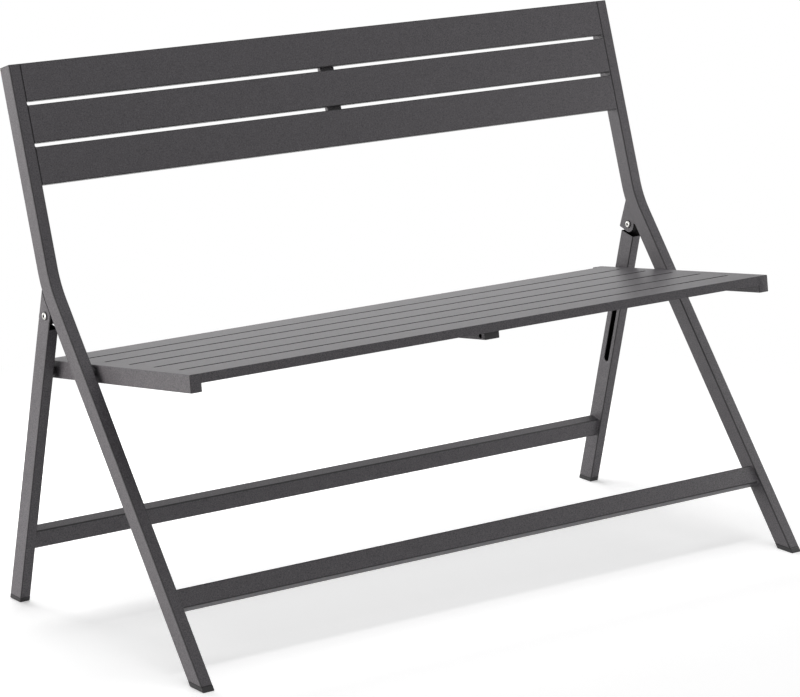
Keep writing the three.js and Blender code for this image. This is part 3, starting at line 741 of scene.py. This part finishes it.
meltedCopy("seat_middle_bar", "seat_mid_bar", midBar["edge"], "seat", coat, "coated_metal")
barDrop = seatSlat["thickness"] + midBar["clearance"] + midBar["height"] / 2
for name, lead in (("front", midBar["start"]), ("rear", midBar["end"] - midBar["lid"])):
    plug = gridPiece(f"middle_bar_plug_{name}", barGrid(
        onSeat(lead, barDrop), onSeat(lead + midBar["lid"], barDrop),
        across, seatUp, midBar["width"] - midBar["inset"], midBar["height"] - midBar["inset"],
        midBar["lidRadius"], edge=midBar["lidEdge"]))
    finishPiece(plug, "seat", plastic, "black_plastic", f"seat_mid_cap_{name}")
print("seat ready")


screwHead = {
    "radius": 5.7,
    "rimEdge": 0.2,
    "rim": 0.7,             # height of the straight rim under the dome
    "rise": 2.0,
    "flatShare": 0.56,      # radius of the flat crown over the head's
    "socket": 4.4,          # across the flats
    "socketEdge": 0.2,
    "socketDepth": 1.7,
    "socketReach": 2.7,     # faces nearer the axis than this and below the crown are the socket's, which get painted shade
    "cone": (0.4, 0.3),     # the drilled cone in its floor: share of its width, and depth
}
turnColumns = 72
turnAngle = np.arange(turnColumns) * 2 * math.pi / turnColumns


def turnedGrid(centre, outward, radii, heights):
    # Rings about an x axis: radius by row and angle, height out along the axis by row.
    radii = np.broadcast_to(radii, (len(heights), turnColumns))
    heights = np.broadcast_to(np.asarray(heights)[:, None], radii.shape)
    return np.stack([centre[0] + outward * heights, centre[1] + radii * np.cos(turnAngle),
                     centre[2] + radii * np.sin(turnAngle)], -1)


def headGrid(centre, outward):
    # A domed head: a quarter of an ellipse from the rim to the flat crown, then a six-sided socket
    # whose radius is half the width across flats over the cosine of the angle from the nearest
    # flat's middle.
    h = screwHead
    hexagon = h["socket"] / 2 / np.cos((turnAngle % (math.pi / 3)) - math.pi / 6)
    even = np.ones(turnColumns)
    turn = quarterTurn(9)
    dome = h["radius"] * (h["flatShare"] + (1 - h["flatShare"]) * np.cos(turn))
    domeHeights = h["rim"] + (h["rise"] - h["rim"]) * np.sin(turn)
    floorLevel = h["rise"] - h["socketDepth"]
    rows = [(even * (h["radius"] - h["rimEdge"]), 0.0), (even * h["radius"], h["rimEdge"])]
    rows += [(even * radius, height) for radius, height in zip(dome, domeHeights)]
    coneShare, coneDepth = h["cone"]
    rows += [(hexagon + h["socketEdge"], h["rise"]), (hexagon, h["rise"] - h["socketEdge"]),
             (hexagon, floorLevel), (hexagon * coneShare, floorLevel - coneDepth)]
    radii, heights = zip(*rows)
    return turnedGrid(centre, outward, np.array(radii), heights)


def pinGrid(centre, outward, radius, start, end, edge=0.4):
    # a turned pin with its two ends chamfered
    radii = np.array([radius - edge, radius, radius, radius - edge])[:, None]
    return turnedGrid(centre, outward, radii, [start, start + edge, end - edge, end])


def ringGrid(centre, outward, bore, outer, start, end, edge=0.2):
    # a flat ring with rounded edges: its section is a closed loop, turned about the axis
    section = [(bore + edge, start), (outer - edge, start), (outer, start + edge),
               (outer, end - edge), (outer - edge, end), (bore + edge, end),
               (bore, end - edge), (bore, start + edge)]
    radii, heights = zip(*section)
    return turnedGrid(centre, outward, np.array(radii)[:, None], heights)


def flangedGrid(centre, outward, bore, sleeve, flange, start, step, end, edge=0.3):
    # a sleeve with a flange at its start, as one closed section turned about the axis
    section = [(bore + edge, start), (flange - edge, start), (flange, start + edge),
               (flange, step - edge), (flange - edge, step), (sleeve, step),
               (sleeve, end - edge), (sleeve - edge, end), (bore + edge, end),
               (bore, end - edge), (bore, start + edge)]
    radii, heights = zip(*section)
    return turnedGrid(centre, outward, np.array(radii)[:, None], heights)


# starts, steps and ends are distances from the bench's middle; those of the washer from its face
hingeScrew = {"screwFace": 600.9, "nutFace": 578.5,
              "washer": {"bore": 4.3, "outer": 7.0, "start": 0.02, "end": 0.9}}
pivot = {
    "y": 54.8195,
    "z": 417.6426,
    "pin": {"radius": 3.8, "start": 556.4, "end": 590.4},
    "collar": {"bore": 4.1, "outer": 7.0, "start": 572.7, "end": 577.8, "edge": 0.6},
    "insert": {"bore": 4.1, "sleeve": 5.5, "flange": 7.0, "start": 578.1, "step": 579.1,
               "end": 588.1, "edge": 0.2},
}
slidePin = {
    "y": 176.2422,
    "z": 394.5450,
    "pin": {"radius": 3.7, "start": 556.4, "end": 589.1},
    "bush": {"bore": 3.9, "sleeve": 5.7, "flange": 8.0, "start": 572.7, "step": 581.7,
             "end": 588.8, "edge": 0.5},
}

for sideName, side in sides.items():
    for name, x, way, node in (("screw", hingeScrew["screwFace"], side, "bolt"),
                               ("barrel_nut", hingeScrew["nutFace"], -side, "nut")):
        head = gridPiece(f"hinge_{name}_{sideName}",
                         headGrid((side * x, hinge[1], hinge[2]), way))
        finishPiece(head, "front_frame", steel, "steel", f"hinge_{node}_{sideName}")
        # painted shade in the socket
        darken(head, paintedSocketShade,
               lambda middle: fromHinge(middle) < screwHead["socketReach"],
               lambda middle: (middle[:, 0] - side * x) * way < screwHead["rise"] - 0.1)
    for name, x, way in (("outer", bench["halfWidth"], side), ("inner", legInner, -side)):
        grid = ringGrid((side * x, hinge[1], hinge[2]), way, **hingeScrew["washer"])
        ring = gridPiece(f"hinge_ring_{name}_{sideName}", grid, ringRows=True)
        finishPiece(ring, "front_frame", plastic, "black_plastic",
                    f"hinge_washer_{name}_{sideName}")

    centre = (0, pivot["y"], pivot["z"])
    pin = gridPiece(f"seat_pin_{sideName}", pinGrid(centre, side, **pivot["pin"]))
    finishPiece(pin, "front_frame", steel, "steel", f"seat_pivot_pin_{sideName}")
    collar = gridPiece(f"seat_collar_{sideName}", ringGrid(centre, side, **pivot["collar"]),
                       ringRows=True)
    finishPiece(collar, "front_frame", plastic, "black_plastic", f"seat_spacer_{sideName}")
    insert = gridPiece(f"leg_insert_{sideName}", flangedGrid(centre, side, **pivot["insert"]),
                       ringRows=True)
    finishPiece(insert, "front_frame", steel, "steel", f"pivot_insert_{sideName}")

    centre = (0, slidePin["y"], slidePin["z"])
    pin = gridPiece(f"slot_pin_{sideName}", pinGrid(centre, side, **slidePin["pin"]))
    finishPiece(pin, "seat", steel, "steel", f"slide_pin_{sideName}")
    bush = gridPiece(f"slot_bush_{sideName}", flangedGrid(centre, side, **slidePin["bush"]),
                     ringRows=True)
    finishPiece(bush, "seat", plastic, "black_plastic", f"slide_bush_{sideName}")
print("screws and pins ready")


board = {
    "reach": 6.0,           # m
    "colour": "#f2f2f2",    # as the camera sees it
    "glow": 0.37,
    "bounce": "#c4c4c4",    # as the bench sees it
    "fadeFrom": 0.8,        # m from the middle; the board fades to plain white away from the bench
    "fadeTo": 1.6,
}
white = (1.0, 1.0, 1.0)


def mixBy(tree, share, first, second):
    return addNode(tree, "ShaderNodeMixShader",
                   links={0: share, 1: first.outputs[0], 2: second.outputs[0]})


def backgroundRays(tree):
    # 1 for camera, glossy and transmission rays, so that steel shows the same white as the camera
    # sees
    rays = addNode(tree, "ShaderNodeLightPath")
    either = addNode(tree, "ShaderNodeMath", {"operation": "MAXIMUM"},
                     {0: rays.outputs["Is Camera Ray"], 1: rays.outputs["Is Glossy Ray"]})
    seen = addNode(tree, "ShaderNodeMath", {"operation": "MAXIMUM"},
                   {0: either.outputs[0], 1: rays.outputs["Is Transmission Ray"]})
    return seen.outputs[0]


def paleFloor():
    # A sheet of matt white board: it keeps the shadow, and the camera sees the lit part as plain
    # white.
    material, tree = newMaterial("whiteBoard")
    lit = addNode(tree, "ShaderNodeBsdfDiffuse", {"Color": linearColour(board["colour"])})
    glow = addNode(tree, "ShaderNodeEmission", {"Color": white + (1,), "Strength": board["glow"]})
    near = addNode(tree, "ShaderNodeAddShader", links={0: lit.outputs[0], 1: glow.outputs[0]})
    plain = addNode(tree, "ShaderNodeEmission", {"Color": white + (1,), "Strength": 1.0})
    place = addNode(tree, "ShaderNodeTexCoord").outputs["Object"]
    distance = addNode(tree, "ShaderNodeVectorMath", {"operation": "LENGTH"}, {0: place})
    fade = addNode(tree, "ShaderNodeMapRange",
                   {"interpolation_type": "SMOOTHSTEP", "From Min": board["fadeFrom"],
                    "From Max": board["fadeTo"]}, {"Value": distance.outputs["Value"]})
    seen = mixBy(tree, fade.outputs["Result"], near, plain)
    bounce = addNode(tree, "ShaderNodeBsdfDiffuse", {"Color": linearColour(board["bounce"])})
    both = mixBy(tree, backgroundRays(tree), bounce, seen)
    addNode(tree, "ShaderNodeOutputMaterial", links={"Surface": both.outputs[0]})
    return material


floorMesh = bpy.data.meshes.new("floor")
floorCorners = [(x * board["reach"], y * board["reach"], 0)
                for x, y in ((-1, -1), (1, -1), (1, 1), (-1, 1))]
floorMesh.from_pydata(floorCorners, [], [(0, 1, 2, 3)])
floor = bpy.data.objects.new("floor", floorMesh)
bpy.context.scene.collection.objects.link(floor)
floorMesh.materials.append(paleFloor())

# Metres and watts. The left and right panels leave the floor alone and two more light nothing
# else, so that the seat's shadow lies straight under it and clears towards the back.
lampSet = {
    "leftPanel": {"at": (-2.8, 0.7, 0.55), "aim": (0, 0, 0.5), "size": (1.4, 1.4), "power": 57,
                  "colour": (1.0, 0.975, 0.94), "floor": "EXCLUDE"},
    "backPanel": {"at": (-0.6, 2.6, 0.5), "aim": (0, 0, 0.5), "size": (1.6, 0.8), "power": 13},
    "rightPanel": {"at": (1.5, -0.15, 0.45), "aim": (0, 0, 0.5), "size": (0.6, 0.6), "power": 8,
                   "colour": (1.0, 0.98, 0.97), "floor": "EXCLUDE"},
    "backRightPanel": {"at": (1.6, 2.4, 0.5), "aim": (0, 0, 0.5), "size": (1.4, 0.8), "power": 3},
    "floorTopPanel": {"at": (0.0, -0.33, 2.8), "aim": (0, -0.33, 0), "size": (3.2, 0.7),
                      "power": 21, "floor": "INCLUDE"},
    "floorBackPanel": {"at": (0.0, 1.3, 0.7), "aim": (0, 0, 0), "size": (1.8, 0.6), "power": 20,
                       "floor": "INCLUDE"},
    "topPanel": {"at": (0.0, 0.0, 3.2), "aim": (0, 0, 0), "size": (1.8, 1.4), "power": 11,
                 "colour": (1.0, 0.99, 1.0)},
}
floorLinks = {}
for state in ("INCLUDE", "EXCLUDE"):
    floorLinks[state] = bpy.data.collections.new(f"floor{state.title()}d")
    floorLinks[state].objects.link(floor)
    floorLinks[state].collection_objects[0].light_linking.link_state = state
for lampName, l in lampSet.items():
    data = bpy.data.lights.new(lampName, "AREA")
    data.shape = "RECTANGLE"
    data.size, data.size_y = l["size"]
    data.energy = l["power"]
    data.color = l.get("colour", white)
    lamp = bpy.data.objects.new(lampName, data)
    lamp.location = l["at"]
    turned = (Vector(l["aim"]) - Vector(l["at"])).to_track_quat("-Z", "Y")
    lamp.rotation_euler = turned.to_euler()
    lamp.visible_camera = False
    if "floor" in l:
        lamp.light_linking.receiver_collection = floorLinks[l["floor"]]
    bpy.context.scene.collection.objects.link(lamp)

room = {"seen": 1.0, "fill": 0.32}
world = bpy.data.worlds.new("studio")
bpy.context.scene.world = world
world.use_nodes = True
tree = world.node_tree
tree.nodes.clear()
fill, seen = (addNode(tree, "ShaderNodeBackground", {"Color": white + (1,), "Strength": room[key]})
              for key in ("fill", "seen"))
mixed = mixBy(tree, backgroundRays(tree), fill, seen)
addNode(tree, "ShaderNodeOutputWorld", links={"Surface": mixed.outputs[0]})

view = {
    "target": (-0.040884, -0.0154, 0.550054),
    "azimuth": -36.3619,
    "elevation": 12.3235,
    "roll": 0.052,
    "distance": 5.575581,
    "lens": 156.535,
    "sensor": 36,
    "shiftY": -0.12,
    "farClip": 50,
}
cameraData = bpy.data.cameras.new("camera")
camera = bpy.data.objects.new("camera", cameraData)
bpy.context.scene.collection.objects.link(camera)
azimuth, elevation = math.radians(view["azimuth"]), math.radians(view["elevation"])
away = Vector((math.sin(azimuth) * math.cos(elevation), -math.cos(azimuth) * math.cos(elevation),
               math.sin(elevation)))
camera.location = Vector(view["target"]) + away * view["distance"]
roll = Quaternion((0, 0, 1), math.radians(view["roll"]))
camera.rotation_euler = ((-away).to_track_quat("-Z", "Y") @ roll).to_euler()
cameraData.sensor_width = view["sensor"]
cameraData.lens = view["lens"]
cameraData.shift_y = view["shiftY"]
cameraData.clip_end = view["farClip"]
bpy.context.scene.camera = camera
bpy.context.scene.view_settings.view_transform = "Standard"
print("floor, light and camera ready")
